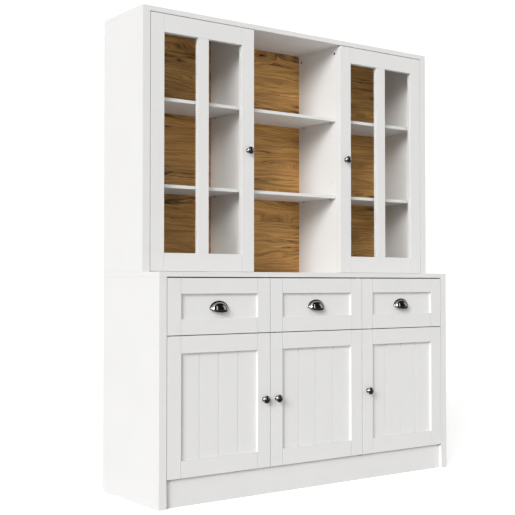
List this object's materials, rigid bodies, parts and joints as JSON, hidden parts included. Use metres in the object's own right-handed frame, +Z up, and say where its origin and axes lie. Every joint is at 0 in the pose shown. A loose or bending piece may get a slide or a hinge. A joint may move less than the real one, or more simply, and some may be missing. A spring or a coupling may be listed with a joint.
{
  "type": "china cabinet with glass doors",
  "caption": "White sideboard base with framed doors and drawers under a shallower glazed hutch with an open shelved bay and a knotty oak back.",
  "frame": {"origin": "on the floor, at the middle of the bounding box (knobs included)", "axes": "+Z up, front facing -Y, +X to the right of someone facing the cabinet"},
  "size_m": [1.4, 0.426, 1.75],
  "materials": {
    "white_paint": "white satin paint on board",
    "drawer_board": "white melamine",
    "knotty_oak": "matt knotty oak veneer, grain level",
    "clear_glass": "clear float glass",
    "dark_nickel": "dark polished nickel",
    "zinc_steel": "bright zinc plate",
    "brass": "plain turned brass",
    "magnet_plastic": "moulded"
  },
  "bodies": {
    "cabinet": {"base_side_left": "white_paint", "base_side_right": "white_paint", "base_worktop": "white_paint", "base_floor": "white_paint", "drawer_deck": "white_paint", "base_partition": "white_paint", "drawer_partition_left": "white_paint", "drawer_partition_right": "white_paint", "toe_kick": "white_paint", "base_back": "white_paint", "base_shelf_wide": "white_paint", "base_shelf_narrow": "white_paint", "hutch_side_left": "white_paint", "hutch_side_right": "white_paint", "hutch_divider_left": "white_paint", "hutch_divider_right": "white_paint", "hutch_top": "white_paint", "hutch_back": "knotty_oak", "hutch_shelves_left": "white_paint", "hutch_shelves_middle": "white_paint", "hutch_shelves_right": "white_paint", "shelf_pins": "zinc_steel", "cam_fittings": "zinc_steel", "pivot_plates": "zinc_steel", "magnet_catches": "magnet_plastic", "fixed_slides": "zinc_steel"},
    "base_door_left": {"base_door_left_frame": "white_paint", "base_door_left_panel": "white_paint", "base_door_left_knob": "dark_nickel", "base_door_left_fittings": "brass"},
    "base_door_middle": {"base_door_middle_frame": "white_paint", "base_door_middle_panel": "white_paint", "base_door_middle_knob": "dark_nickel", "base_door_middle_fittings": "brass"},
    "base_door_right": {"base_door_right_frame": "white_paint", "base_door_right_panel": "white_paint", "base_door_right_knob": "dark_nickel", "base_door_right_fittings": "brass"},
    "glass_door_left": {"glass_door_left_frame": "white_paint", "glass_door_left_pane": "clear_glass", "glass_door_left_beads": "white_paint", "glass_door_left_knob": "dark_nickel", "glass_door_left_fittings": "brass"},
    "glass_door_right": {"glass_door_right_frame": "white_paint", "glass_door_right_pane": "clear_glass", "glass_door_right_beads": "white_paint", "glass_door_right_knob": "dark_nickel", "glass_door_right_fittings": "brass"},
    "drawer_left": {"drawer_left_front": "white_paint", "drawer_left_box": "drawer_board", "drawer_left_pull": "dark_nickel", "drawer_left_slides": "zinc_steel"},
    "drawer_middle": {"drawer_middle_front": "white_paint", "drawer_middle_box": "drawer_board", "drawer_middle_pull": "dark_nickel", "drawer_middle_slides": "zinc_steel"},
    "drawer_right": {"drawer_right_front": "white_paint", "drawer_right_box": "drawer_board", "drawer_right_pull": "dark_nickel", "drawer_right_slides": "zinc_steel"}
  },
  "joints": [
    {"name": "base_door_left_hinge", "type": "hinge", "parent": "cabinet", "child": "base_door_left", "pos_m": [-0.659, -0.181, 0.34325], "axis": [0, 0, -1], "range_deg": [0, 110]},
    {"name": "base_door_middle_hinge", "type": "hinge", "parent": "cabinet", "child": "base_door_middle", "pos_m": [0.2167, -0.181, 0.34325], "axis": [0, 0, 1], "range_deg": [0, 100]},
    {"name": "base_door_right_hinge", "type": "hinge", "parent": "cabinet", "child": "base_door_right", "pos_m": [0.659, -0.181, 0.34325], "axis": [0, 0, 1], "range_deg": [0, 110]},
    {"name": "glass_door_left_hinge", "type": "hinge", "parent": "cabinet", "child": "glass_door_left", "pos_m": [-0.659, -0.066, 1.271], "axis": [0, 0, -1], "range_deg": [0, 110]},
    {"name": "glass_door_right_hinge", "type": "hinge", "parent": "cabinet", "child": "glass_door_right", "pos_m": [0.659, -0.066, 1.271], "axis": [0, 0, 1], "range_deg": [0, 110]},
    {"name": "drawer_left_slide", "type": "slide", "parent": "cabinet", "child": "drawer_left", "axis": [0, -1, 0], "range_m": [0, 0.26]},
    {"name": "drawer_middle_slide", "type": "slide", "parent": "cabinet", "child": "drawer_middle", "axis": [0, -1, 0], "range_m": [0, 0.26]},
    {"name": "drawer_right_slide", "type": "slide", "parent": "cabinet", "child": "drawer_right", "axis": [0, -1, 0], "range_m": [0, 0.26]}
  ]
}
